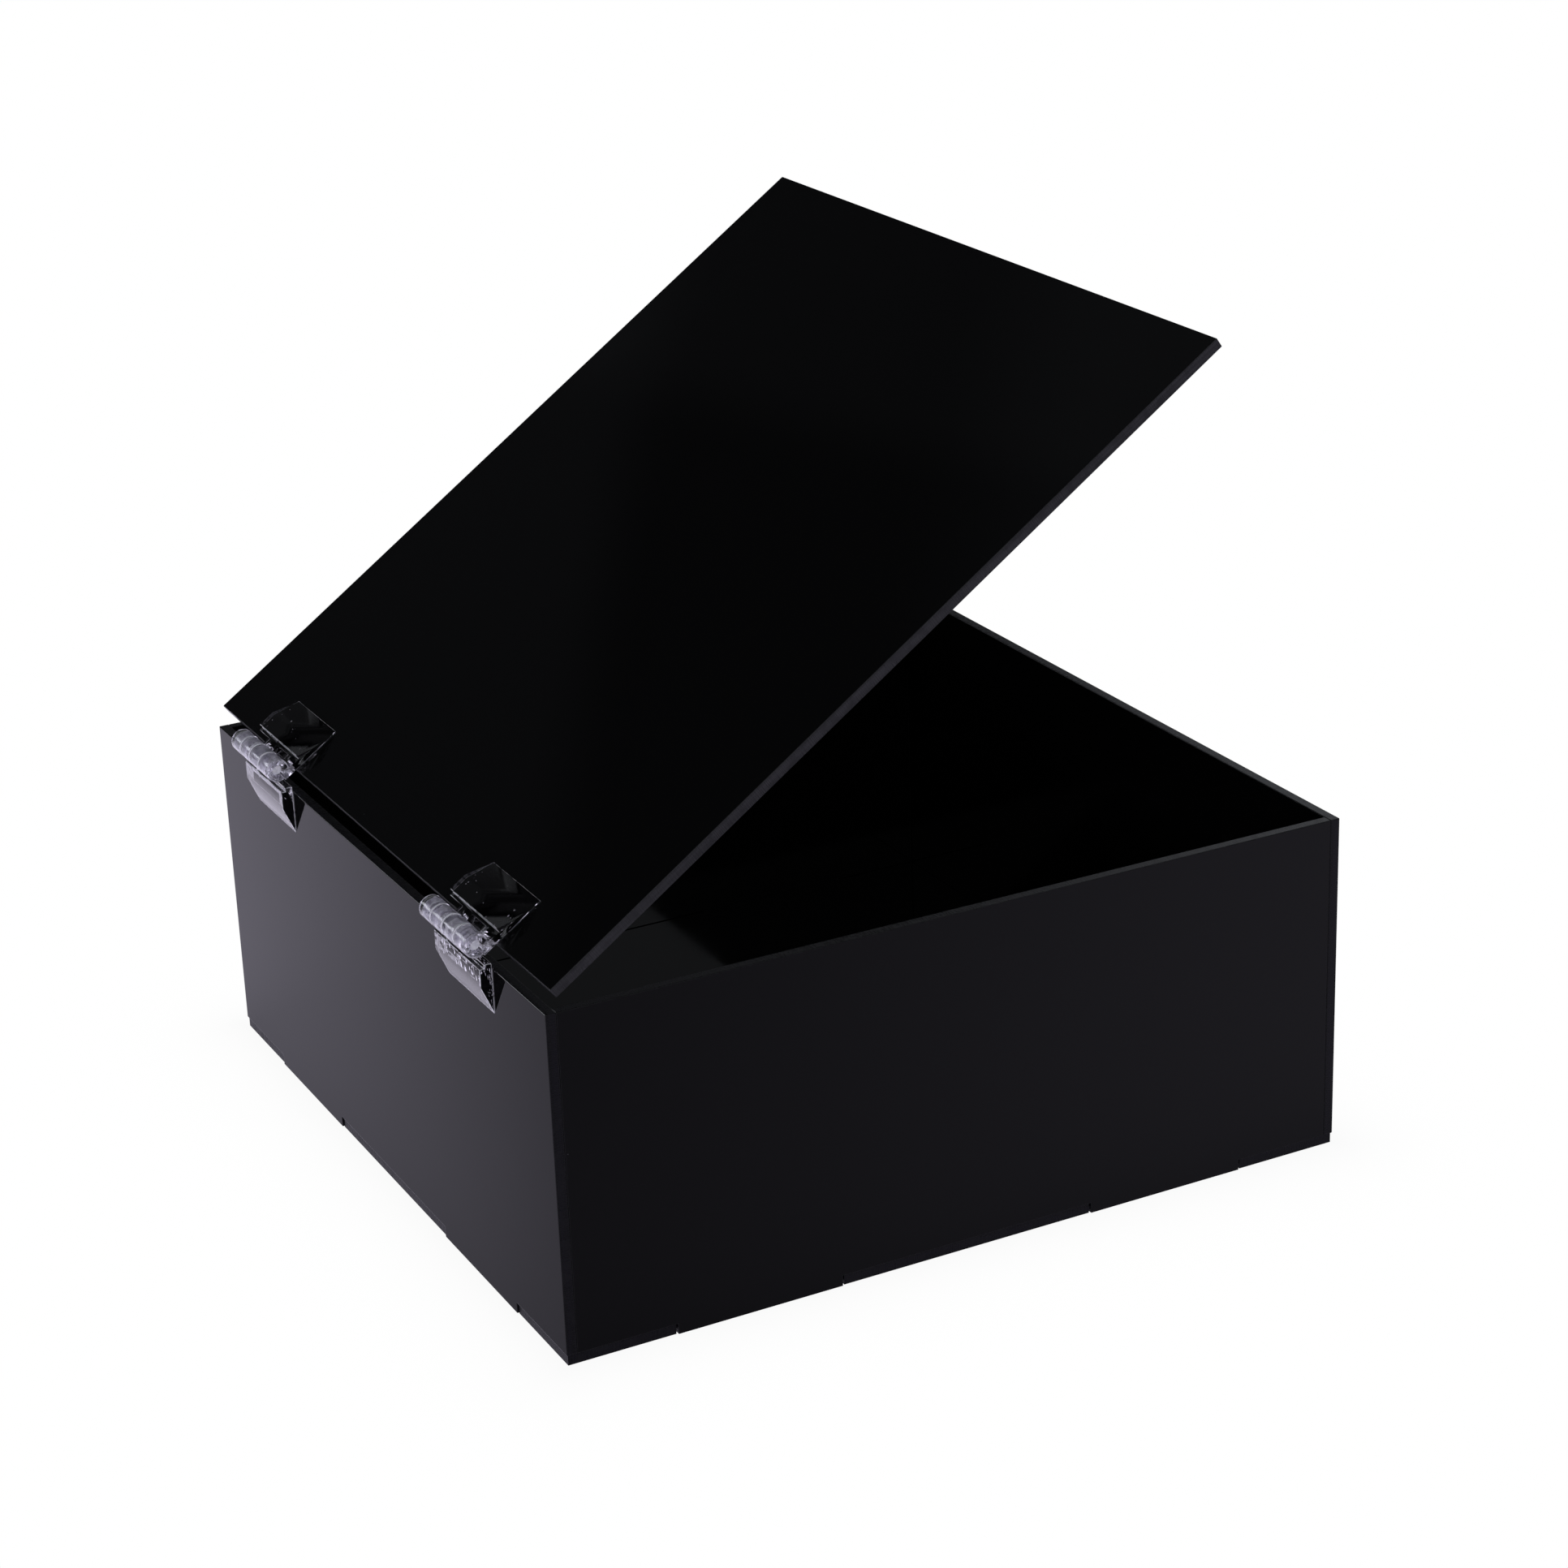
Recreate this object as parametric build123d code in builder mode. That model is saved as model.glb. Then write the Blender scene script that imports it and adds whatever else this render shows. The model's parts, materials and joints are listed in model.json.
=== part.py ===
from build123d import *
import os
from math import cos, radians, sin

os.makedirs("parts", exist_ok=True)

# A square box of cast sheet with a lid on two glued-on clear hinges, in millimetres.
# +Z is up, the front is at -Y and the hinges are on the back wall at +Y.
# The origin is on the resting surface, under the middle of the box.

# Box
box_width = 240.0
box_depth = 240.0
rim_height = 100.0
sheet = 3.0
edge_round = 0.25

# Tabs that drop from each wall into notches in the floor's edges, two to a wall
tab_length = 49.0
tab_centre = 63.5
kerf_gap = 0.5
floor_inset = 0.4
notch_clearance = 0.1

# Lid, closed a little above the rim and modelled standing open
lid_gap = 0.25
lid_back_inset = 0.3
lid_front_inset = 1.2
lid_side_inset = 0.2
lid_open_angle = 34.7

# Hinges: each is two equal leaves and a pin, glued down on thin films
hinge_width = 30.0
hinge_centre = 72.0
leaf_length = 20.0
leaf_thickness = 3.4
bevel_start = 12.0
groove_end = 6.8
groove_thickness = 2.1
plate_start = 5.7
barrel_radius = 3.4
barrel_round = 0.45
pin_height = 3.8
pin_radius = 1.6
pin_recess = 1.2
pin_round = 0.3
running_clearance = 0.04
press_interference = 0.01
knuckles = 4
knuckle_gap = 0.3
film_thickness = 0.08
film_margin = 0.8

# Worked out from the sizes above
floor_width = box_width - 2 * floor_inset
floor_depth = box_depth - 2 * floor_inset
notch_length = tab_length + 2 * kerf_gap
notch_depth = sheet - floor_inset + notch_clearance
side_length = box_depth - 2 * sheet
wall_height = rim_height - sheet
lid_width = box_width - 2 * lid_side_inset
lid_depth = box_depth - lid_back_inset - lid_front_inset
pitch = (hinge_width + knuckle_gap) / knuckles
knuckle_length = pitch - knuckle_gap
pin_y = box_depth / 2 + film_thickness + pin_height
pin_z = rim_height + lid_gap + sheet + film_thickness + pin_height
lid_back_edge = pin_y - (box_depth / 2 - lid_back_inset)

# Directions of the open lid: along it from the hinge, and out of its outer face
lid_along = Vector(0, -cos(radians(lid_open_angle)), sin(radians(lid_open_angle)))
lid_out = Vector(0, sin(radians(lid_open_angle)), cos(radians(lid_open_angle)))


def save(part, node):
    """Label a finished piece and write its file."""
    part.label = node
    export_step(part, "parts/" + node + ".step")


def make_wall(outer_plane, length):
    """A wall with its two floor tabs; the plane is its outer face, X along it, Y up, from the floor."""
    with BuildPart() as wall:
        with BuildSketch(outer_plane):
            with Locations((0, sheet + wall_height / 2)):
                Rectangle(length, wall_height)
        extrude(amount=-sheet)
        fillet(wall.edges(), edge_round)
        with BuildSketch(outer_plane):
            with Locations((-tab_centre, sheet / 2 + edge_round), (tab_centre, sheet / 2 + edge_round)):
                Rectangle(tab_length, sheet + 2 * edge_round)
        extrude(amount=-sheet)
        fillet(wall.edges().filter_by(Axis.Z).group_by(SortBy.LENGTH)[0], edge_round)
    return wall.part


def leaf_outline():
    """The section across the plate of a hinge leaf, from its knuckle side to its thin edge."""
    return [
        (plate_start, 0),
        (leaf_length, 0),
        (bevel_start, leaf_thickness),
        (groove_end, leaf_thickness),
        (groove_end, groove_thickness),
        (plate_start, groove_thickness),
    ]


def make_leaf(leaf_plane, bore_radius):
    """A hinge leaf; the plane's origin is under the pin, X runs along the leaf, Y away from its sheet."""
    with BuildPart() as leaf:
        for slot in range(1, knuckles, 2):
            with BuildSketch(leaf_plane.offset(slot * pitch)):
                with Locations((0, pin_height)):
                    Circle(barrel_radius)
            extrude(amount=knuckle_length)
        fillet(leaf.edges().filter_by(GeomType.CIRCLE), barrel_round)
        for slot in range(1, knuckles, 2):
            with BuildSketch(leaf_plane.offset(slot * pitch)):
                with Locations((plate_start / 2, groove_thickness / 2)):
                    Rectangle(plate_start, groove_thickness)
            extrude(amount=knuckle_length)
        with BuildSketch(leaf_plane):
            with BuildLine():
                Polyline(*leaf_outline(), close=True)
            make_face()
        extrude(amount=hinge_width)
        with BuildSketch(leaf_plane):
            with Locations((0, pin_height)):
                Circle(bore_radius)
        extrude(amount=hinge_width, mode=Mode.SUBTRACT)
    return leaf.part


def make_film(leaf_plane):
    """The adhesive under a leaf, a thin sheet a little smaller than the leaf's plate."""
    film_length = leaf_length - plate_start - 2 * film_margin
    with BuildPart() as film:
        with BuildSketch(leaf_plane.offset(film_margin)):
            with Locations(((plate_start + leaf_length) / 2, -film_thickness / 2)):
                Rectangle(film_length, film_thickness)
        extrude(amount=hinge_width - 2 * film_margin)
    return film.part


# Floor panel, notched on all four edges
with BuildPart() as floor_panel:
    with BuildSketch(Plane.XY):
        Rectangle(floor_width, floor_depth)
        for side in (-1, 1):
            notch_y = side * (floor_depth - notch_depth) / 2
            notch_x = side * (floor_width - notch_depth) / 2
            with Locations((-tab_centre, notch_y), (tab_centre, notch_y)):
                Rectangle(notch_length, notch_depth, mode=Mode.SUBTRACT)
            with Locations((notch_x, -tab_centre), (notch_x, tab_centre)):
                Rectangle(notch_depth, notch_length, mode=Mode.SUBTRACT)
    extrude(amount=sheet)
save(floor_panel.part, "floor_panel")

# Walls: the front and back cover the ends of the two side walls
wall_places = {
    "front_wall": (Plane((0, -box_depth / 2, 0), x_dir=(1, 0, 0), z_dir=(0, -1, 0)), box_width),
    "back_wall": (Plane((0, box_depth / 2, 0), x_dir=(-1, 0, 0), z_dir=(0, 1, 0)), box_width),
    "left_wall": (Plane((-box_width / 2, 0, 0), x_dir=(0, -1, 0), z_dir=(-1, 0, 0)), side_length),
    "right_wall": (Plane((box_width / 2, 0, 0), x_dir=(0, 1, 0), z_dir=(1, 0, 0)), side_length),
}
for wall_name, (outer_plane, length) in wall_places.items():
    save(make_wall(outer_plane, length), wall_name)

# Lid panel, on a plane under the pin axis that lies in the open lid's outer face
lid_face_origin = Vector(0, pin_y, pin_z) - lid_out * (pin_height + film_thickness)
lid_plane = Plane(lid_face_origin, x_dir=lid_along, z_dir=lid_out)
with BuildPart() as lid_panel:
    with BuildSketch(lid_plane):
        with Locations((lid_back_edge + lid_depth / 2, 0)):
            Rectangle(lid_depth, lid_width)
    extrude(amount=-sheet)
    fillet(lid_panel.edges(), edge_round)
save(lid_panel.part, "lid_panel")

# Hinges: the leaves are the same piece, turned about the pin and end for end
for side, centre in (("left", -hinge_centre), ("right", hinge_centre)):
    pin_middle = Vector(centre, pin_y, pin_z)
    wall_out = Vector(0, 1, 0)
    half_width = Vector(hinge_width / 2, 0, 0)
    wall_plane = Plane(pin_middle - half_width - wall_out * pin_height, x_dir=(0, 0, -1), z_dir=(1, 0, 0))
    leaf_plane = Plane(pin_middle + half_width - lid_out * pin_height, x_dir=lid_along, z_dir=(-1, 0, 0))

    save(make_leaf(wall_plane, pin_radius - press_interference), side + "_hinge_wall_leaf")
    save(make_leaf(leaf_plane, pin_radius + running_clearance), side + "_hinge_lid_leaf")
    save(make_film(wall_plane), side + "_hinge_wall_film")
    save(make_film(leaf_plane), side + "_hinge_lid_film")

    pin_length = hinge_width - 2 * pin_recess
    with BuildPart() as hinge_pin:
        with BuildSketch(Plane.YZ.offset(centre - pin_length / 2)):
            with Locations((pin_y, pin_z)):
                Circle(pin_radius)
        extrude(amount=pin_length)
        fillet(hinge_pin.edges().filter_by(GeomType.CIRCLE), pin_round)
    save(hinge_pin.part, side + "_hinge_pin")
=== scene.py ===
import json
import math
import bmesh
import bpy
import numpy as np
from mathutils import Matrix, Quaternion, Vector


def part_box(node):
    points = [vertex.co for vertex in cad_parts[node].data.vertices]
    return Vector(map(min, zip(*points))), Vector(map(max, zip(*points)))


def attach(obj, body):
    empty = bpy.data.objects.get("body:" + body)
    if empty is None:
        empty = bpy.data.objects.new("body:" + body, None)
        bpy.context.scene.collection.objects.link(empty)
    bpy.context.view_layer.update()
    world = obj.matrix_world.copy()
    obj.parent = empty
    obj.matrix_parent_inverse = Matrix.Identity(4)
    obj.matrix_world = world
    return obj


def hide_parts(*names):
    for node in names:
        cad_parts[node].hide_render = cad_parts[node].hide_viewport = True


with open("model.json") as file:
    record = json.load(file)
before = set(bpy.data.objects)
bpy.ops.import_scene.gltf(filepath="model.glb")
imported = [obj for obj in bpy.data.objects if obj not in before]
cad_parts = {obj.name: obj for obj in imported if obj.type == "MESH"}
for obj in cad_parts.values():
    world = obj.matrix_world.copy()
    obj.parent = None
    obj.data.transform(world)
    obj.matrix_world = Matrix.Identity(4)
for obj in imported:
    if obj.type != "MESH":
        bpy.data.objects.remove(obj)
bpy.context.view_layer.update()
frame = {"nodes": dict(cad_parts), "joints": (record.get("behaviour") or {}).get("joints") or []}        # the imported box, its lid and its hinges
print("frame loaded:", len(frame["nodes"]), "nodes")

mm = 0.001
lidHinge = frame["joints"][0]
pinPlace = Vector(lidHinge["pos_m"])
lidAngle = math.radians(-lidHinge["range_deg"][0])        # how far the lid stands open
lidAlong = Vector((0, -math.cos(lidAngle), math.sin(lidAngle)))
lidOut = Vector((0, math.sin(lidAngle), math.cos(lidAngle)))
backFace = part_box("back_wall")[1].y
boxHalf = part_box("back_wall")[1].x                        # half the width of the square box
hingeLow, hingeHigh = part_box("right_hinge_wall_leaf")
hingeCentre = (hingeLow.x + hingeHigh.x) / 2
hingeWidth = hingeHigh.x - hingeLow.x


# Node shorthand

def addNode(tree, kind, inputs=None, **settings):
    made = tree.nodes.new("ShaderNode" + kind)
    for name, value in settings.items():
        setattr(made, name, value)
    for name, value in (inputs or {}).items():
        if isinstance(value, bpy.types.NodeSocket):
            tree.links.new(value, made.inputs[name])
        else:
            made.inputs[name].default_value = value
    return made


def maths(tree, operation, *values):
    return addNode(tree, "Math", dict(enumerate(values)), operation=operation).outputs[0]


def vectorMaths(tree, operation, *values):
    made = addNode(tree, "VectorMath", dict(enumerate(values)), operation=operation)
    return made.outputs["Value" if operation in ("DOT_PRODUCT", "LENGTH") else "Vector"]


def fade(tree, value, start, end, low=0.0, high=1.0):
    # low before start, high after end, eased between; start may be the larger
    if start > end:
        start, end, low, high = end, start, high, low
    ranges = {"Value": value, "From Min": start, "From Max": end, "To Min": low, "To Max": high}
    return addNode(tree, "MapRange", ranges, interpolation_type="SMOOTHSTEP").outputs[0]


def noise(tree, place, scale, detail=2.0, roughness=0.5):
    values = {"Vector": place, "Scale": scale, "Detail": detail, "Roughness": roughness}
    return addNode(tree, "TexNoise", values).outputs["Fac"]


def split(tree, vector):
    return addNode(tree, "SeparateXYZ", {0: vector}).outputs


def stretched(tree, place, scale):
    return addNode(tree, "Mapping", {"Vector": place, "Scale": scale}).outputs[0]


def mixValues(tree, factor, first, second):
    return addNode(tree, "Mix", {0: factor, 2: first, 3: second}).outputs[0]


def mixColours(tree, factor, first, second):
    made = addNode(tree, "Mix", data_type="RGBA")
    for socket, value in zip((made.inputs[0], made.inputs[6], made.inputs[7]), (factor, first, second)):
        if isinstance(value, bpy.types.NodeSocket):
            tree.links.new(value, socket)
        else:
            socket.default_value = value
    return made.outputs[2]


def newMaterial(name):
    material = bpy.data.materials.new(name)
    material.use_nodes = True
    material.node_tree.nodes.clear()
    return material, material.node_tree


def finishMaterial(tree, shader):
    output = tree.nodes.new("ShaderNodeOutputMaterial")
    tree.links.new(shader, output.inputs["Surface"])


def finishPlastic(tree, values, height=None):
    # values for the shader's own sockets, and the height in metres of its fine relief
    if height is not None:
        relief = {"Strength": 1.0, "Distance": 1.0, "Height": height}
        values = {**values, "Normal": addNode(tree, "Bump", relief).outputs[0]}
    finishMaterial(tree, addNode(tree, "BsdfPrincipled", values).outputs[0])


# Camera

cameraPlan = {
    "lens": 83.21,
    "sensor": 36.0,
    "place": (-0.87301, 0.43456, 0.48202),
    "azimuth": 243.026,       # degrees round the object, from the front
    "elevation": 21.632,
    "roll": -2.093,
    "clip": (0.01, 30.0),
}


def makeCamera(plan):
    azimuth, elevation = math.radians(plan["azimuth"]), math.radians(plan["elevation"])
    flat = math.cos(elevation)
    back = Vector((math.sin(azimuth) * flat, -math.cos(azimuth) * flat, math.sin(elevation)))
    turn = (-back).to_track_quat("-Z", "Y") @ Quaternion((0, 0, 1), math.radians(plan["roll"]))
    data = bpy.data.cameras.new("studioCamera")
    data.lens = plan["lens"]
    data.sensor_width = plan["sensor"]
    data.clip_start, data.clip_end = plan["clip"]
    camera = bpy.data.objects.new("studioCamera", data)
    camera.matrix_world = Matrix.LocRotScale(Vector(plan["place"]), turn, None)
    bpy.context.scene.collection.objects.link(camera)
    bpy.context.scene.camera = camera


makeCamera(cameraPlan)
print("camera placed")


# Studio

studio = {
    "backdrop": 1.0,
    "tableTint": (0.975, 0.925, 1.12),
    "skyTint": (0.96, 0.99, 1.06),
    "mirrored": (0.006, 0.088),        # above and below, as the sheets' polish shows it
    "through": (0.09, 1.40),          # as it comes through the clear hinges
    "fill": (0.14, 1.10),             # as it falls on dull surfaces
    "tableEdge": (-2.0, -7.0),        # elevations between which the table's light comes in
    # azimuth from +X towards +Y, elevation, half width, half height, softness, strength
    "glows": {
        "tableSheen": (-5.0, -50.0, 11.0, 30.0, 22.0, 0.95),
        "frontTable": (-115.0, -52.0, 23.0, 30.0, 22.0, 0.15),
        "backTable": (90.0, -50.0, 40.0, 32.0, 25.0, 0.25),
        "keyBox": (-156.0, 24.0, 14.0, 4.5, 3.0, 1.28),
        "rimBox": (36.0, 13.0, 8.0, 4.0, 4.0, 3.6),
        "rimCard": (-16.0, 20.0, 5.0, 6.0, 5.0, 0.07),
        "lowCard": (8.0, 12.0, 20.0, 15.5, 1.5, 0.014),
        "farCard": (0.0, 32.0, 6.0, 12.0, 1.5, 0.010),
        "highCard": (10.0, 60.0, 20.0, 24.5, 3.0, 0.016),
        "overhead": (0.0, 90.0, 180.0, 12.0, 16.0, 0.06),
        "backBox": (95.0, 28.0, 22.0, 16.0, 10.0, 0.60),
        "sideBox": (152.0, 30.0, 24.0, 20.0, 11.0, 0.50),
        "frontBox": (-70.0, 30.0, 30.0, 20.0, 12.0, 0.50),
    },
}


def makeWorld(plan):
    world = bpy.data.worlds.new("studioWorld")
    bpy.context.scene.world = world
    world.use_nodes = True
    tree = world.node_tree
    tree.nodes.clear()
    rays = addNode(tree, "LightPath").outputs
    direction = addNode(tree, "TexCoord").outputs["Generated"]
    east, north, up = split(tree, direction)
    azimuth = maths(tree, "MULTIPLY", maths(tree, "ARCTAN2", north, east), math.degrees(1))
    elevation = maths(tree, "MULTIPLY", maths(tree, "ARCSINE", up), math.degrees(1))
    down = fade(tree, elevation, *plan["tableEdge"])
    levels = {}
    for kind in ("mirrored", "through", "fill"):
        above, below = plan[kind]
        levels[kind] = maths(tree, "MULTIPLY_ADD", down, below - above, above)
    light = mixValues(tree, rays["Is Glossy Ray"], levels["fill"], levels["mirrored"])
    light = mixValues(tree, rays["Is Transmission Ray"], light, levels["through"])
    for middle, height, halfWide, halfTall, soft, strength in plan["glows"].values():
        aside = maths(tree, "WRAP", maths(tree, "SUBTRACT", azimuth, middle), 180, -180)
        across = fade(tree, maths(tree, "ABSOLUTE", aside), halfWide + soft, halfWide)
        above = maths(tree, "ABSOLUTE", maths(tree, "SUBTRACT", elevation, height))
        upright = fade(tree, above, halfTall + soft, halfTall)
        glow = maths(tree, "MULTIPLY", across, upright)
        light = maths(tree, "MULTIPLY_ADD", glow, strength, light)
    violet = maths(tree, "MAXIMUM", down, rays["Is Transmission Ray"])
    tint = mixColours(tree, violet, (*plan["skyTint"], 1), (*plan["tableTint"], 1))
    tinted = vectorMaths(tree, "MULTIPLY", light, tint)
    seen = mixColours(tree, rays["Is Camera Ray"], tinted, (*[plan["backdrop"]] * 3, 1))
    background = addNode(tree, "Background", {"Color": seen})
    output = addNode(tree, "OutputWorld")
    tree.links.new(background.outputs[0], output.inputs["Surface"])


floorPlan = {
    "half": 3.0,
    "white": 1.0,
    "seenShade": 0.05,        # how much the floor darkens at the box's foot
    "seenReach": 0.012,
    "mirrorShade": 0.28,      # the same, as the walls reflect it
    "mirrorReach": 0.030,
}


def makeFloor(plan):
    # a flat square, white to the eye and only a shade in the walls' reflections, clear from below
    half = plan["half"]
    corners = [(-half, -half, 0), (half, -half, 0), (half, half, 0), (-half, half, 0)]
    mesh = bpy.data.meshes.new("floor")
    mesh.from_pydata(corners, [], [(0, 1, 2, 3)])
    floor = bpy.data.objects.new("floor", mesh)
    bpy.context.scene.collection.objects.link(floor)
    floor.visible_shadow = False
    floor.visible_diffuse = False
    floor.visible_transmission = False
    material, tree = newMaterial("paleFloor")
    place = addNode(tree, "TexCoord").outputs["Object"]
    beyond = vectorMaths(tree, "SUBTRACT", vectorMaths(tree, "ABSOLUTE", place), (boxHalf, boxHalf, 0))
    away = vectorMaths(tree, "LENGTH", vectorMaths(tree, "MAXIMUM", beyond, (0, 0, 0)))
    rays = addNode(tree, "LightPath").outputs

    def shade(amount, reach):
        falling = maths(tree, "EXPONENT", maths(tree, "DIVIDE", away, -reach))
        return maths(tree, "MULTIPLY", falling, amount)

    seenLight = maths(tree, "SUBTRACT", plan["white"], shade(plan["seenShade"], plan["seenReach"]))
    seen = addNode(tree, "Emission", {"Color": (1, 1, 1, 1), "Strength": seenLight}).outputs[0]
    clear = addNode(tree, "BsdfTransparent").outputs[0]
    dark = addNode(tree, "Emission", {"Color": (0, 0, 0, 1)}).outputs[0]
    mirrorShade = shade(plan["mirrorShade"], plan["mirrorReach"])
    mirrored = addNode(tree, "MixShader", {0: mirrorShade, 1: clear, 2: dark}).outputs[0]
    either = addNode(tree, "MixShader", {0: rays["Is Camera Ray"], 1: mirrored, 2: seen}).outputs[0]
    backs = addNode(tree, "NewGeometry").outputs["Backfacing"]
    finishMaterial(tree, addNode(tree, "MixShader", {0: backs, 1: either, 2: clear}).outputs[0])
    mesh.materials.append(material)


makeWorld(studio)
makeFloor(floorPlan)
scene = bpy.context.scene
scene.view_settings.view_transform = "Standard"
scene.cycles.max_bounces = 16
scene.cycles.glossy_bounces = 10
scene.cycles.transmission_bounces = 16
scene.cycles.sample_clamp_indirect = 4.0
print("studio lit")


# Black sheet

blackSheet = {
    "face": (0.0028, 0.0028, 0.0029, 1),
    "cut": (0.0026, 0.0023, 0.0046, 1),
    "cutDark": (0.0014, 0.0014, 0.0022, 1),
    # the lid's cut edge: the same acrylic as the other cut edges, painted about ten times lighter, a
    # painted sheen on the lid's edge band
    "paintedLitLidCut": (0.026, 0.026, 0.0285, 1),
    "paintedLitLidCutDark": (0.017, 0.017, 0.0185, 1),
    "dust": (0.09, 0.09, 0.095, 1),
    "ior": 1.49,
    "cutLean": (0.72, 0.45),      # upright part of the normal, from the faces to the cut edges
    "cornerLean": (0.995, 0.96),  # and from the faces to their rounded corners
    "faceRoughness": (0.015, 0.075),
    "cutRoughness": (0.20, 0.34),
    "cornerRoughness": 0.55,
    "crisp": ("back_wall",),      # the sheets whose corners keep their polish
    "smudgeScale": 14.0,
    "fineScale": 308.0,
    "smudgeShares": (0.85, 0.25),
    "smudgeRange": (0.42, 0.78),
    "wearReach": 1.1 * mm,
    "wearScale": 320.0,
    "wearRange": (0.46, 0.66),
    "wearTint": 0.35,
    "wearRoughness": 0.10,
    "dustScale": 95.0,
    "dustSize": (0.004, 0.022),   # of a cell: the least, and how much more at most
    "dustShare": 0.16,
    "dustTint": 0.6,
    "dustRoughness": 0.6,
    "dustHeight": 0.03 * mm,
    "striation": 3400.0,          # laser lines to a metre, about
    "striationStretch": (1, 1, 0.03),
    "striationRange": (0.3, 0.7),
    "striationHeight": 0.012 * mm,
    "bands": 1500.0,              # streaks that run along a cut edge
    "bandStretch": (0.02, 0.02, 1),
    "bandRange": (0.35, 0.65),
    "waves": 9.0,
    "waveHeight": 0.015 * mm,
}

# turns that lay each sheet flat, with its thickness along Z
sheetTurns = {
    "floor_panel": (0, 0, 0),
    "front_wall": (math.pi / 2, 0, 0),
    "back_wall": (math.pi / 2, 0, 0),
    "left_wall": (0, math.pi / 2, 0),
    "right_wall": (0, math.pi / 2, 0),
    "lid_panel": (lidAngle, 0, 0),
}


def sheetExtent(node, turn):
    # middle and half size of a node's mesh once it is laid flat
    mesh = frame["nodes"][node].data
    points = np.empty(len(mesh.vertices) * 3)
    mesh.vertices.foreach_get("co", points)
    rotation = np.eye(3)
    for axis, angle in zip("XYZ", turn):
        rotation = np.array(Matrix.Rotation(angle, 3, axis)) @ rotation
    flat = points.reshape(-1, 3) @ rotation.T
    low, high = flat.min(axis=0), flat.max(axis=0)
    return (low + high) / 2, (high - low) / 2


def makeBlackSheet(node, turn, plan):
    middle, half = sheetExtent(node, turn)
    material, tree = newMaterial("blackSheet_" + node)
    coordinates = addNode(tree, "TexCoord").outputs
    laid = addNode(tree, "Mapping", {"Vector": coordinates["Object"], "Rotation": turn}).outputs[0]
    flat = vectorMaths(tree, "SUBTRACT", laid, tuple(middle))
    facing = {"Vector": coordinates["Normal"], "Rotation": turn}
    normal = addNode(tree, "Mapping", facing, vector_type="NORMAL").outputs[0]
    upright = maths(tree, "ABSOLUTE", split(tree, normal)[2])
    cut = fade(tree, upright, *plan["cutLean"])
    corner = maths(tree, "SUBTRACT", fade(tree, upright, *plan["cornerLean"]), cut)

    broadShare, fineShare = plan["smudgeShares"]
    broad = noise(tree, flat, plan["smudgeScale"], detail=3, roughness=0.55)
    fine = noise(tree, flat, plan["fineScale"], detail=2, roughness=0.6)
    polish = maths(tree, "MULTIPLY_ADD", fine, fineShare, maths(tree, "MULTIPLY", broad, broadShare))
    faceRoughness = fade(tree, polish, *plan["smudgeRange"], *plan["faceRoughness"])

    # laser lines run through the thickness of a cut edge
    across = stretched(tree, flat, plan["striationStretch"])
    lines = noise(tree, across, plan["striation"], detail=1.5)
    cutRoughness = fade(tree, lines, *plan["striationRange"], *plan["cutRoughness"])

    # wear gathers within a millimetre of the borders
    outline = vectorMaths(tree, "SUBTRACT", tuple(half), vectorMaths(tree, "ABSOLUTE", flat))
    inward = split(tree, outline)
    border = fade(tree, maths(tree, "MINIMUM", inward[0], inward[1]), plan["wearReach"], 0.0)
    patches = noise(tree, flat, plan["wearScale"], detail=3, roughness=0.6)
    wear = maths(tree, "MULTIPLY", border, fade(tree, patches, *plan["wearRange"]))

    # a few of the cells hold a speck of dust
    cells = addNode(tree, "TexVoronoi", {"Vector": flat, "Scale": plan["dustScale"], "Randomness": 1.0})
    chance = split(tree, cells.outputs["Color"])
    least, more = plan["dustSize"]
    size = maths(tree, "MULTIPLY_ADD", chance[0], more, least)
    speck = fade(tree, maths(tree, "DIVIDE", cells.outputs["Distance"], size), 1.0, 0.5)
    dust = maths(tree, "MULTIPLY", speck, maths(tree, "LESS_THAN", chance[1], plan["dustShare"]))

    # a cut edge is streaked along its length, darkest at the two borders
    thickness = maths(tree, "ABSOLUTE", split(tree, flat)[2])
    inside = fade(tree, thickness, float(half[2]), float(half[2]) / 2)
    lengthwise = stretched(tree, flat, plan["bandStretch"])
    bands = noise(tree, lengthwise, plan["bands"], detail=2, roughness=0.6)
    streaks = fade(tree, bands, *plan["bandRange"])
    # the lid's cut edge takes the painted-sheen colours, brightest mid-thickness where the streaks are
    # light
    dark, light = ("paintedLitLidCutDark", "paintedLitLidCut") if node == "lid_panel" else ("cutDark", "cut")
    cutColour = mixColours(tree, maths(tree, "MULTIPLY", streaks, inside), plan[dark], plan[light])

    colour = mixColours(tree, cut, plan["face"], cutColour)
    colour = mixColours(tree, maths(tree, "MULTIPLY", wear, plan["wearTint"]), colour, plan["cut"])
    colour = mixColours(tree, maths(tree, "MULTIPLY", dust, plan["dustTint"]), colour, plan["dust"])
    rough = mixValues(tree, cut, faceRoughness, cutRoughness)
    rough = maths(tree, "MULTIPLY_ADD", wear, plan["wearRoughness"], rough)
    if node not in plan["crisp"]:
        rough = mixValues(tree, corner, rough, plan["cornerRoughness"])
    rough = mixValues(tree, dust, rough, plan["dustRoughness"])

    height = maths(tree, "MULTIPLY", maths(tree, "MULTIPLY", lines, cut), plan["striationHeight"])
    waves = noise(tree, flat, plan["waves"], detail=1, roughness=0.4)
    height = maths(tree, "MULTIPLY_ADD", waves, plan["waveHeight"], height)
    height = maths(tree, "MULTIPLY_ADD", dust, plan["dustHeight"], height)
    finishPlastic(tree, {"Base Color": colour, "Roughness": rough, "IOR": plan["ior"]}, height)
    return material


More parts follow.
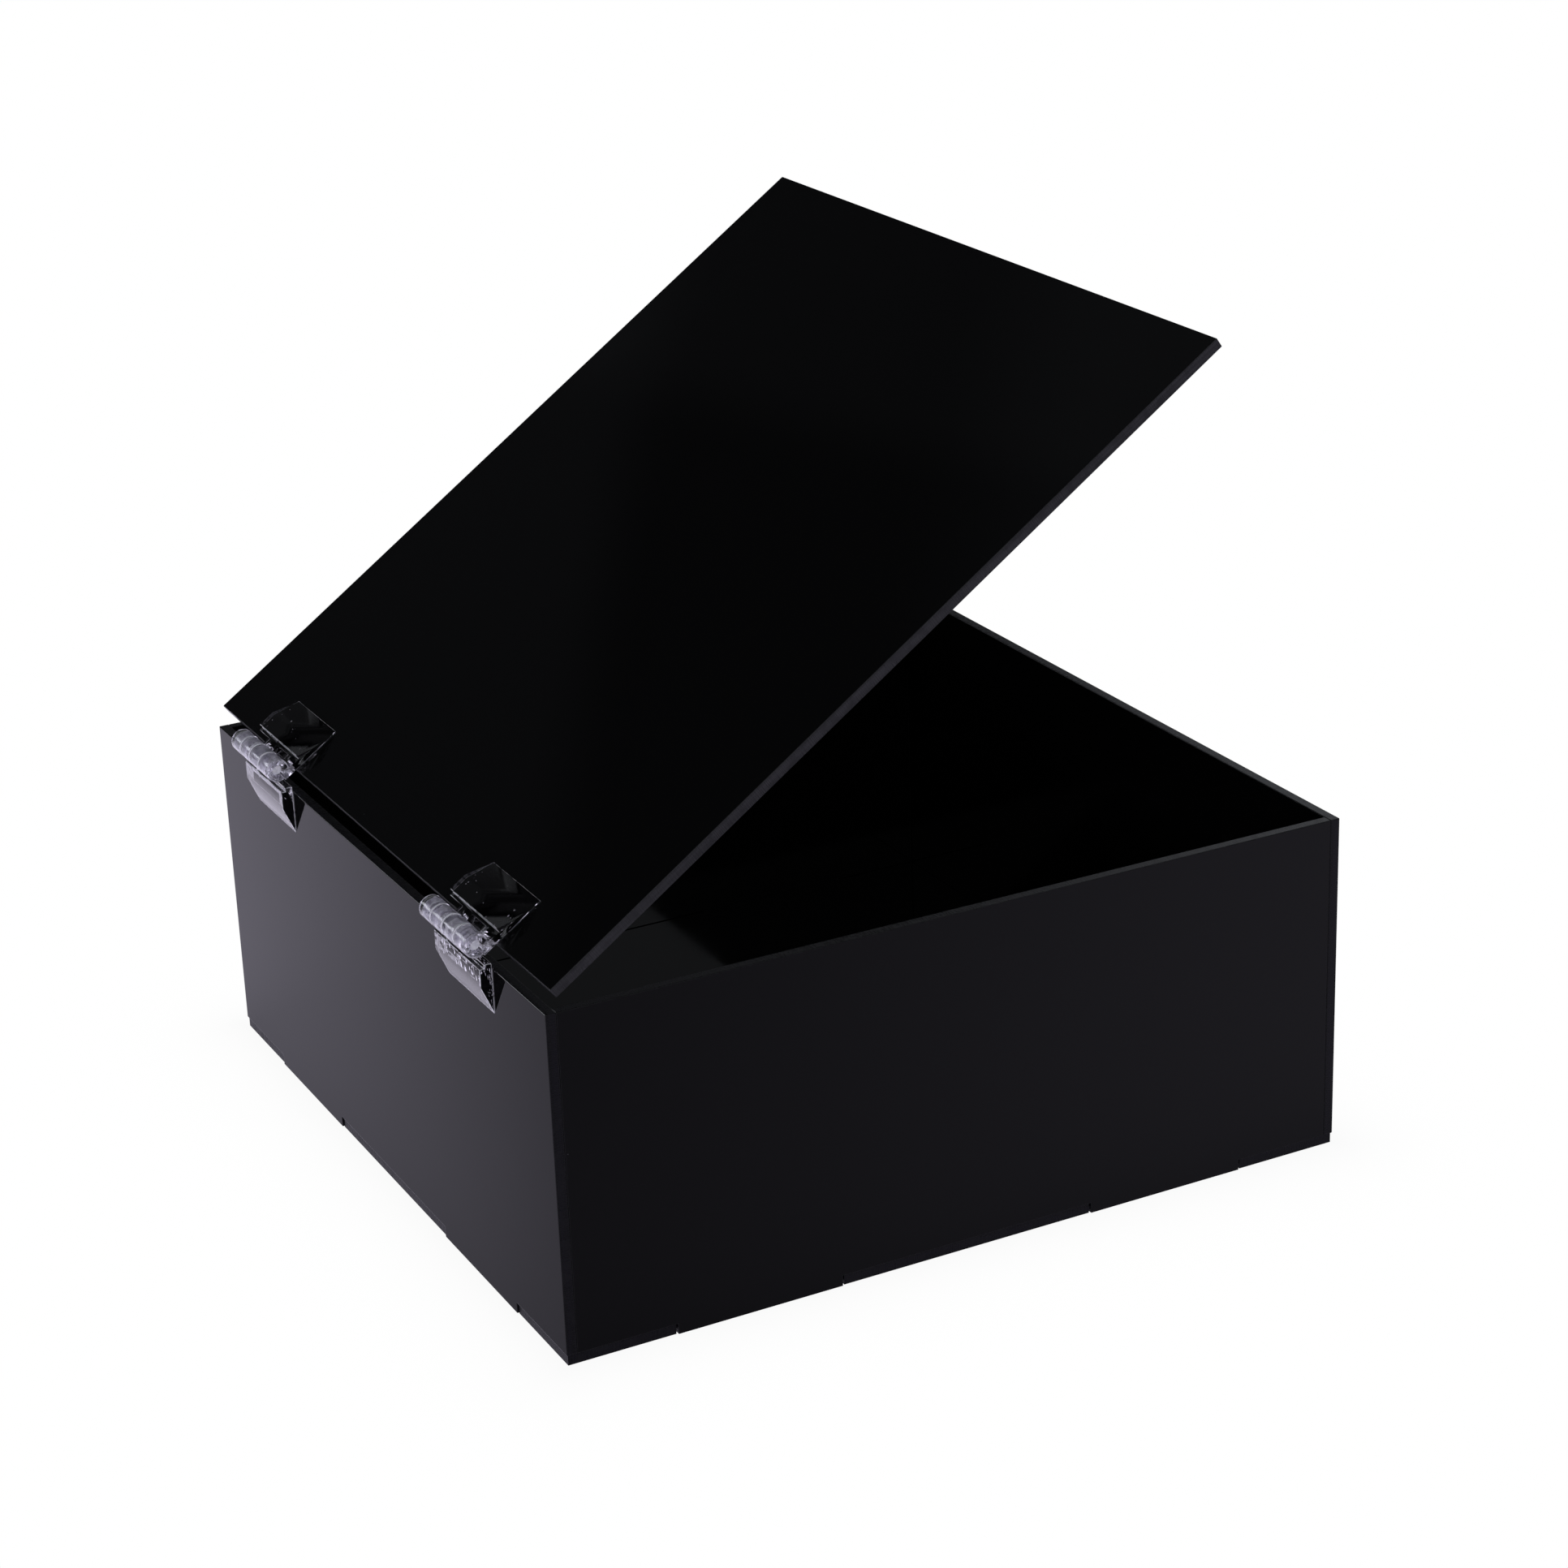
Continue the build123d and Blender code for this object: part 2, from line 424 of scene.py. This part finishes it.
def dress(node, material):
    # a CAD node keeps its shape and gets a better finish
    piece = frame["nodes"][node]
    piece.data.materials.clear()
    piece.data.materials.append(material)


for node, turn in sheetTurns.items():
    dress(node, makeBlackSheet(node, turn, blackSheet))
print("black sheets dressed:", len(sheetTurns))


# Clear hinges

clearHinge = {
    "tone": (0.965, 0.97, 0.985, 1),
    "ior": 1.49,
    "roughness": (0.012, 0.06),
    "hazeScale": 260.0,
    "hazeRange": (0.35, 0.75),

    # the bore's haze, from the pin's line outwards and along it to short of the hinge's ends
    "boreTone": (0.62, 0.61, 0.68, 1),
    "boreRoughness": 0.38,
    "boreReach": (1.80 * mm, 1.70 * mm),
    "boreHalf": (13.3 * mm, 12.9 * mm),
    "boreClearness": (0.97, 0.12),
    "streaks": 1500.0,
    "streakStretch": (0.10, 1, 1),
    "arcs": 900.0,
    "arcStretch": (1, 0.12, 0.12),
    "streakRange": (0.88, 1.06),

    # the knuckles' outer skin: fine turned rings, and dull seams where two knuckles meet, whitened as a
    # painted highlight of the knuckles' rounded ends
    "skin": (2.85 * mm, 3.05 * mm, 3.50 * mm, 3.60 * mm),
    "knuckles": 4,
    "knuckleGap": 0.3 * mm,
    "seamReach": (0.50 * mm, 0.28 * mm),
    "seamWhitenedAsHighlight": 0.62,
    "seamRoughness": 0.25,
    "rings": 1300.0,
    "ringStretch": (1, 0.10, 0.10),
    "ringRange": (0.44, 0.62),
    "ringDulled": 0.26,

    "waves": 420.0,
    "waveHeight": 0.012 * mm,
    "flow": 1100.0,
    "flowHeight": 0.020 * mm,

    # the long sharp edges, rounded; here and there the rounding turns rough and whitish, a painted
    # highlight along the edges
    "edge": 0.14 * mm,
    "edgeLength": 0.8 * mm,
    "edgeTurn": math.radians(28),
    "edgeHighlightTone": (0.88, 0.88, 0.92, 1),
    "edgeRoughness": (0.25, 0.50),
    "edgeClearness": (0.85, 0.15),
    "highlightPatchScale": 700.0,
    "highlightPatchRange": (0.34, 0.60),
    "weld": 0.0005 * mm,
    "flatWithin": math.radians(0.5),
}

# along and out of each kind of leaf, and the body that it rides on
leafSides = {
    "wall": {"body": "box", "along": Vector((0, 0, -1)), "out": Vector((0, 1, 0))},
    "lid": {"body": "lid", "along": lidAlong, "out": lidOut},
}
leafPlan = {
    "face": pinPlace.y - backFace,      # from the pin's line down to the sheet's face
    "film": 0.08 * mm,
    "embed": 0.012 * mm,                # how far the glue reaches into the leaf, so that no gap shows
}


def awayFromPin(tree, place):
    # distance from the line of the hinge pins
    offset = vectorMaths(tree, "SUBTRACT", place, tuple(pinPlace))
    return vectorMaths(tree, "LENGTH", vectorMaths(tree, "MULTIPLY", offset, (0, 1, 1)))


def alongHinge(tree, place):
    # distance along the pin from the middle of whichever hinge is nearer
    sideways = maths(tree, "ABSOLUTE", split(tree, place)[0])
    return maths(tree, "ABSOLUTE", maths(tree, "SUBTRACT", sideways, hingeCentre))


def makeClearMoulding(plan):
    material, tree = newMaterial("clearMoulding")
    place = addNode(tree, "TexCoord").outputs["Object"]
    away, along = awayFromPin(tree, place), alongHinge(tree, place)
    near = fade(tree, away, *plan["boreReach"])
    bore = maths(tree, "MULTIPLY", near, fade(tree, along, *plan["boreHalf"]))
    haze = noise(tree, place, plan["hazeScale"], detail=3, roughness=0.6)
    surface = fade(tree, haze, *plan["hazeRange"], *plan["roughness"])
    rough = mixValues(tree, bore, surface, plan["boreRoughness"])

    # streaks drawn along the bore and arcs round it
    drawn = stretched(tree, place, plan["streakStretch"])
    streaks = noise(tree, drawn, plan["streaks"], detail=3, roughness=0.6)
    arcs = noise(tree, stretched(tree, place, plan["arcStretch"]), plan["arcs"], detail=2, roughness=0.6)
    streaked = fade(tree, maths(tree, "ADD", streaks, arcs), *plan["streakRange"])
    clearness = fade(tree, maths(tree, "MULTIPLY", bore, streaked), 0.0, 1.0, *plan["boreClearness"])
    clearness = mixValues(tree, bore, 1.0, clearness)

    # the skin of the knuckles, with a seam in the middle and one on each side of it
    inner, innerFull, outerFull, outer = plan["skin"]
    skin = maths(tree, "MULTIPLY", fade(tree, away, inner, innerFull), fade(tree, away, outer, outerFull))
    pitch = (hingeWidth + plan["knuckleGap"]) / plan["knuckles"]
    fromPitch = maths(tree, "ABSOLUTE", maths(tree, "SUBTRACT", along, pitch))
    seam = fade(tree, maths(tree, "MINIMUM", along, fromPitch), *plan["seamReach"])
    seam = maths(tree, "MULTIPLY", seam, skin)
    around = stretched(tree, place, plan["ringStretch"])
    rings = fade(tree, noise(tree, around, plan["rings"], detail=3, roughness=0.65), *plan["ringRange"])
    rings = maths(tree, "MULTIPLY", maths(tree, "MULTIPLY", rings, skin), plan["ringDulled"])
    # seams lose clearness and turn whitish, a painted highlight; the turned rings dull at random
    dulledRingsAndSeamHighlight = maths(tree, "MAXIMUM", maths(tree, "MULTIPLY", seam, plan["seamWhitenedAsHighlight"]), rings)
    clearness = maths(tree, "SUBTRACT", clearness, dulledRingsAndSeamHighlight)
    rough = maths(tree, "MULTIPLY_ADD", seam, plan["seamRoughness"], rough)

    colour = mixColours(tree, bore, plan["tone"], plan["boreTone"])
    flow = noise(tree, drawn, plan["flow"])
    height = maths(tree, "MULTIPLY", flow, plan["flowHeight"])
    waves = noise(tree, place, plan["waves"])
    height = maths(tree, "MULTIPLY_ADD", waves, plan["waveHeight"], height)
    values = {"Base Color": colour, "Roughness": rough, "IOR": plan["ior"]}
    finishPlastic(tree, {**values, "Transmission Weight": clearness}, height)
    return material


# the rounded edges: clear and fairly rough, and in patches rough, dull and whitish, which paints thin
# highlight lines along them
def makePaintedEdgeHighlight(plan):
    material, tree = newMaterial("paintedEdgeHighlight")
    place = addNode(tree, "TexCoord").outputs["Object"]
    patches = noise(tree, place, plan["highlightPatchScale"], detail=3, roughness=0.6)
    highlightPatches = fade(tree, patches, *plan["highlightPatchRange"])
    rough = fade(tree, highlightPatches, 0.0, 1.0, *plan["edgeRoughness"])
    clearness = fade(tree, highlightPatches, 0.0, 1.0, *plan["edgeClearness"])
    values = {"Base Color": plan["edgeHighlightTone"], "Roughness": rough, "IOR": plan["ior"]}
    finishPlastic(tree, {**values, "Transmission Weight": clearness})
    return material


clearRod = {
    "tone": (0.86, 0.86, 0.92, 1),
    "endTone": (0.98, 0.98, 1.0, 1),
    "endCloud": (0.74, 0.74, 0.78, 1),
    "ior": 1.49,
    "sawnLean": (0.5, 0.8),        # sideways part of the normal, from the sides to the sawn ends
    "drawn": 1800.0,
    "drawnStretch": (0.08, 1, 1),
    "roughness": (0.30, 0.48),
    "roughRange": (0.3, 0.7),
    "clearness": (0.88, 0.30),
    "clearRange": (0.40, 0.62),
    "endClearness": 0.05,
    "cloudScale": 1100.0,
    "cloudRange": (0.35, 0.65),
    "drawnHeight": 0.006 * mm,
}


def makeClearRod(plan):
    material, tree = newMaterial("clearRod")
    coordinates = addNode(tree, "TexCoord").outputs
    place = coordinates["Object"]
    sideways = maths(tree, "ABSOLUTE", split(tree, coordinates["Normal"])[0])
    sawn = fade(tree, sideways, *plan["sawnLean"])
    along = stretched(tree, place, plan["drawnStretch"])
    drawn = noise(tree, along, plan["drawn"], detail=3, roughness=0.6)
    cloud = noise(tree, place, plan["cloudScale"], detail=2, roughness=0.6)
    rough = fade(tree, drawn, *plan["roughRange"], *plan["roughness"])
    clouded = fade(tree, cloud, *plan["cloudRange"])
    ends = mixColours(tree, clouded, plan["endTone"], plan["endCloud"])
    colour = mixColours(tree, sawn, plan["tone"], ends)
    sides = fade(tree, drawn, *plan["clearRange"], *plan["clearness"])
    clearness = mixValues(tree, sawn, sides, plan["endClearness"])
    height = maths(tree, "MULTIPLY", drawn, plan["drawnHeight"])
    values = {"Base Color": colour, "Roughness": rough, "IOR": plan["ior"]}
    finishPlastic(tree, {**values, "Transmission Weight": clearness}, height)
    return material


def addPiece(name, mesh, material, body):
    mesh.materials.append(material)
    piece = bpy.data.objects.new(name, mesh)
    bpy.context.scene.collection.objects.link(piece)
    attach(piece, body)
    return piece


def moulded(node, side, clear, edgeHighlight, plan):
    # a copy of a hinge leaf with its flats joined up and its sharp edges rounded, as a moulding's are
    name = node.replace("_leaf", "_moulding")
    out = leafSides[side]["out"]
    work = bmesh.new()
    work.from_mesh(frame["nodes"][node].data)
    bmesh.ops.remove_doubles(work, verts=work.verts, dist=plan["weld"])
    bmesh.ops.dissolve_limit(work, angle_limit=plan["flatWithin"], verts=work.verts, edges=work.edges)
    bmesh.ops.recalc_face_normals(work, faces=work.faces)
    for face in work.faces:
        face.smooth = True

    # a lid leaf keeps the upright edges of its ends sharp
    weight = work.edges.layers.float.new("bevel_weight_edge")
    for edge in work.edges:
        first, second = (end.co for end in edge.verts)
        length = edge.calc_length()
        sharp = edge.calc_face_angle(0) > plan["edgeTurn"] and length > plan["edgeLength"]
        height = ((first + second) / 2 - pinPlace).dot(out) + leafPlan["face"]
        level = abs(first.x - second.x) > length / 2 or height < plan["edgeLength"]
        edge[weight] = float(sharp and (level or side == "wall"))
    mesh = bpy.data.meshes.new(name)
    work.to_mesh(mesh)
    work.free()
    if "custom_normal" in mesh.attributes:
        mesh.attributes.remove(mesh.attributes["custom_normal"])
    piece = addPiece(name, mesh, clear, leafSides[side]["body"])
    # the rounding takes the material with the painted edge highlight
    mesh.materials.append(edgeHighlight)
    rounding = piece.modifiers.new("rounding", "BEVEL")
    rounding.material = 1
    rounding.width = plan["edge"]
    rounding.segments = 2
    rounding.limit_method = "WEIGHT"
    rounding.use_clamp_overlap = False
    rounding.harden_normals = True
    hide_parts(node)


clearMoulding = makeClearMoulding(clearHinge)
paintedEdgeHighlight = makePaintedEdgeHighlight(clearHinge)
rod = makeClearRod(clearRod)
for hinge in ("left_hinge", "right_hinge"):
    for side in leafSides:
        moulded(f"{hinge}_{side}_leaf", side, clearMoulding, paintedEdgeHighlight, clearHinge)
    dress(hinge + "_pin", rod)
print("hinges moulded")


# Set glue and the air trapped in it

# bonded patches: middle and half sizes, across (along the pin) and along the leaf, in millimetres
gluePatches = {
    "left_hinge_wall": (
        ((0.0, 15.55), (14.5, 4.0)),
        ((-11.7, 9.0), (2.8, 2.6)),
        ((-3.4, 10.3), (3.6, 0.8)),
        ((5.6, 9.4), (3.0, 0.7)),
    ),
    "right_hinge_wall": (
        ((0.0, 15.55), (14.5, 3.8)),
        ((0.5, 10.2), (10.8, 1.35)),
    ),
    "left_hinge_lid": (
        ((0.0, 12.8), (14.95, 7.1)),
        ((3.8, 5.0), (3.5, 0.85)),
        ((-11.0, 5.0), (3.1, 0.85)),
    ),
    "right_hinge_lid": (
        ((0.0, 12.8), (14.95, 7.1)),
        ((3.8, 5.0), (3.5, 0.85)),
        ((-11.4, 5.0), (3.0, 0.85)),
    ),
}
glueShape = {
    "spokes": (96, 24),       # round a patch, and round a small blot
    "rings": (7, 2),
    "small": 1.6,             # half as wide as this across, or less, is a blot
    "squareness": 0.12,
    "ripple": 0.010,
    "waves": range(3, 12),    # to a turn of the outline
    "strengths": (0.3, 1.0),
    "seed": 11,
}

# small blots: how many, and the limits of their middles and half sizes, across and along
glueBlots = {"left_hinge_wall": (46, (-9.0, 14.2), (7.2, 11.6), (0.4, 1.5), (0.2, 0.5))}


def onLeaf(side, centre, across, along, out):
    # points at a distance across (+X), along the leaf from the pin, and out from the sheet's face
    leafAlong, leafOut = (np.array(leafSides[side][key]) for key in ("along", "out"))
    start = np.array(pinPlace) * (0, 1, 1) - leafOut * leafPlan["face"]
    shift = np.multiply.outer(along, leafAlong) + np.multiply.outer(out, leafOut)
    return start + shift + np.multiply.outer(across + centre, np.array((1.0, 0, 0)))


def closedGrid(points, poles, rows, columns):
    # rings of points from one pole to the other, as quads with a fan at each end
    row, column = np.meshgrid(np.arange(rows - 1), np.arange(columns), indexing="ij")
    here = row * columns + column
    beside = row * columns + (column + 1) % columns
    quads = np.stack([here, here + columns, beside + columns, beside], axis=-1).reshape(-1, 4)
    ends = np.arange(columns)
    turned = (ends + 1) % columns
    first, last = rows * columns, rows * columns + 1
    fanFirst = np.stack([ends, turned, np.full(columns, first)], axis=-1)
    base = (rows - 1) * columns
    fanLast = np.stack([base + turned, base + ends, np.full(columns, last)], axis=-1)
    faces = quads.tolist() + fanFirst.tolist() + fanLast.tolist()
    return np.concatenate([points, poles]), faces


def joined(parts):
    # several (points, faces) as one
    points, faces, count = [], [], 0
    for partPoints, partFaces in parts:
        points.append(partPoints)
        faces += [[corner + count for corner in face] for face in partFaces]
        count += len(partPoints)
    return np.concatenate(points), faces


def gluePatch(side, centre, patch, rng):
    # a rounded rectangle with a rippled outline: each ring's points are its share of the half sizes times
    # |cos|^squareness across and |sin|^squareness along, times a swell that is a sum of random sines
    (acrossMiddle, alongMiddle), (acrossHalf, alongHalf) = patch
    shape = glueShape
    grade = int(acrossHalf < shape["small"])
    spokes, rings = shape["spokes"][grade], shape["rings"][grade]
    angles = np.linspace(0, 2 * np.pi, spokes, endpoint=False)
    ripple = sum(
        np.sin(angles * wave + rng.uniform(0, 2 * np.pi)) * rng.uniform(*shape["strengths"]) / wave
        for wave in shape["waves"]
    )
    swell = 1 - shape["ripple"] * (1 + ripple)
    squareX = np.sign(np.cos(angles)) * np.abs(np.cos(angles)) ** shape["squareness"]
    squareY = np.sign(np.sin(angles)) * np.abs(np.sin(angles)) ** shape["squareness"]
    radius = np.linspace(1 / rings, 1, rings)[:, None] * swell
    radius = np.concatenate([radius, radius[::-1]])      # out over the top and back underneath
    across = ((radius * squareX * acrossHalf + acrossMiddle) * mm).ravel()
    along = ((radius * squareY * alongHalf + alongMiddle) * mm).ravel()
    heights = np.array([leafPlan["film"] + leafPlan["embed"], 0.0])
    points = onLeaf(side, centre, across, along, np.repeat(heights, rings * spokes))
    poles = onLeaf(side, centre, np.full(2, acrossMiddle * mm), np.full(2, alongMiddle * mm), heights)
    return closedGrid(points, poles, 2 * rings, spokes)


setGlue = {
    "tone": (0.0022, 0.0022, 0.0026, 1),
    "speckTone": (0.05, 0.05, 0.055, 1),
    "speckScale": 900.0,
    "speckRange": (0.68, 0.76),
    "roughness": 0.7,
}


def makeSetGlue(plan):
    material, tree = newMaterial("setGlue")
    place = addNode(tree, "TexCoord").outputs["Object"]
    grain = noise(tree, place, plan["speckScale"], detail=2, roughness=0.6)
    colour = mixColours(tree, fade(tree, grain, *plan["speckRange"]), plan["tone"], plan["speckTone"])
    finishPlastic(tree, {"Base Color": colour, "Roughness": plan["roughness"], "Specular IOR Level": 0.0})
    return material


bubblePlan = {
    "tone": (0.92, 0.92, 0.95, 1),
    "roughness": (0.08, 0.30),
    "grain": 1500.0,
    "grainRange": (0.35, 0.65),
    "columns": 12,
    "rows": 7,
    "height": 0.05,       # half thickness, and the rest in millimetres
    "lift": 0.085,
    "scatter": 0.55,
    "across": 14.3,       # a bubble past these limits is left out
    "along": (6.6, 19.2),
    "sizes": (0.45, 1.20),
    "lean": (0.25, 0.30), # radians: the mean and the spread
    "seed": 31,
}

# rows of trapped bubbles: start across, start along, step across, step along, count, length and width,
# in millimetres
bubbleRows = {
    "left_hinge_wall": (
        (-12.4, 8.3, 1.75, 0.08, 15, 1.2, 0.28),
        (-11.8, 10.4, 1.9, 0.06, 14, 1.5, 0.32),
        (-13.6, 7.6, 0.06, 1.05, 11, 0.9, 0.24),
        (-12.6, 8.0, 0.30, 1.10, 10, 0.6, 0.22),
    ),
    "right_hinge_wall": ((-12.5, 8.4, 6.0, 0.15, 5, 0.6, 0.16), (-14.0, 7.2, 0.15, 0.55, 7, 0.7, 0.24)),
    "left_hinge_lid": (
        (-13.0, 7.2, 2.1, 0.05, 4, 0.9, 0.30),
        (-13.2, 9.4, 0.7, 0.9, 5, 0.7, 0.22),
        (-4.0, 8.0, 5.1, 1.3, 4, 0.45, 0.20),
        (13.2, 7.6, 0.05, 2.1, 5, 0.50, 0.20),
    ),
    "right_hinge_lid": (
        (-12.6, 7.3, 1.6, 0.05, 3, 0.9, 0.30),
        (-8.0, 9.5, 4.4, 1.1, 4, 0.50, 0.22),
        (13.0, 7.8, 0.05, 2.6, 4, 0.50, 0.20),
    ),
}


def bubbles(side, centre, rowsOfBubbles, rng):
    # flat ellipsoids: cos and sin of latitude and longitude, stretched and turned one by one
    plan = bubblePlan
    nearest, farthest = plan["along"]
    latitudes = np.linspace(-np.pi / 2, np.pi / 2, plan["rows"] + 2)[1:-1]
    longitudes = np.linspace(0, 2 * np.pi, plan["columns"], endpoint=False)
    ringX = np.outer(np.cos(latitudes), np.cos(longitudes)).ravel()
    ringY = np.outer(np.cos(latitudes), np.sin(longitudes)).ravel()
    out = np.repeat(np.sin(latitudes), plan["columns"]) * plan["height"] + plan["lift"]
    poleOut = np.array([-plan["height"], plan["height"]]) + plan["lift"]
    made = []
    for startAcross, startAlong, stepAcross, stepAlong, howMany, length, width in rowsOfBubbles:
        for step in range(howMany):
            middleX = startAcross + step * stepAcross + rng.normal(0, plan["scatter"])
            middleY = startAlong + step * stepAlong + rng.normal(0, plan["scatter"])
            size, lean = rng.uniform(*plan["sizes"]), rng.normal(*plan["lean"])
            if abs(middleX) > plan["across"] or not nearest < middleY < farthest:
                continue
            flatX, flatY = ringX * width * size, ringY * length / 2 * size
            across = middleX + flatX * math.cos(lean) - flatY * math.sin(lean)
            along = middleY + flatX * math.sin(lean) + flatY * math.cos(lean)
            points = onLeaf(side, centre, across * mm, along * mm, out * mm)
            poles = onLeaf(side, centre, np.full(2, middleX * mm), np.full(2, middleY * mm), poleOut * mm)
            made.append(closedGrid(points, poles, plan["rows"], plan["columns"]))
    return joined(made)


def makeTrappedAir(plan):
    material, tree = newMaterial("trappedAir")
    place = addNode(tree, "TexCoord").outputs["Object"]
    grain = noise(tree, place, plan["grain"], detail=1)
    rough = fade(tree, grain, *plan["grainRange"], *plan["roughness"])
    finishPlastic(tree, {"Base Color": plan["tone"], "Metallic": 1.0, "Roughness": rough})
    return material


def surfaceMesh(name, points, faces, smooth):
    # the arrays as a mesh whose faces all point outwards
    mesh = bpy.data.meshes.new(name)
    mesh.from_pydata(points.tolist(), [], faces)
    work = bmesh.new()
    work.from_mesh(mesh)
    bmesh.ops.recalc_face_normals(work, faces=work.faces)
    work.to_mesh(mesh)
    work.free()
    mesh.polygons.foreach_set("use_smooth", [smooth] * len(mesh.polygons))
    return mesh


glueMaterial = makeSetGlue(setGlue)
airMaterial = makeTrappedAir(bubblePlan)
for index, (leaf, patches) in enumerate(gluePatches.items()):
    side = leaf.rsplit("_", 1)[1]
    body = leafSides[side]["body"]
    centre = sum(corner.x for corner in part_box(leaf + "_leaf")) / 2
    rng = np.random.default_rng(glueShape["seed"] + index)
    howMany, *limits = glueBlots.get(leaf, (0,))
    blots = [[rng.uniform(*limit) for limit in limits] for blot in range(howMany)]
    patches += tuple((blot[:2], blot[2:]) for blot in blots)
    spread = joined([gluePatch(side, centre, patch, rng) for patch in patches])
    glueMesh = surfaceMesh(leaf + "_glue", *spread, smooth=False)
    glue = addPiece(leaf + "_glue", glueMesh, glueMaterial, body)
    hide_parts(leaf + "_film")
    rng = np.random.default_rng(bubblePlan["seed"] + index)
    trapped = bubbles(side, centre, bubbleRows[leaf], rng)
    airMesh = surfaceMesh(leaf + "_bubbles", *trapped, smooth=True)
    addPiece(leaf + "_bubbles", airMesh, airMaterial, body)
print("glue and bubbles set")
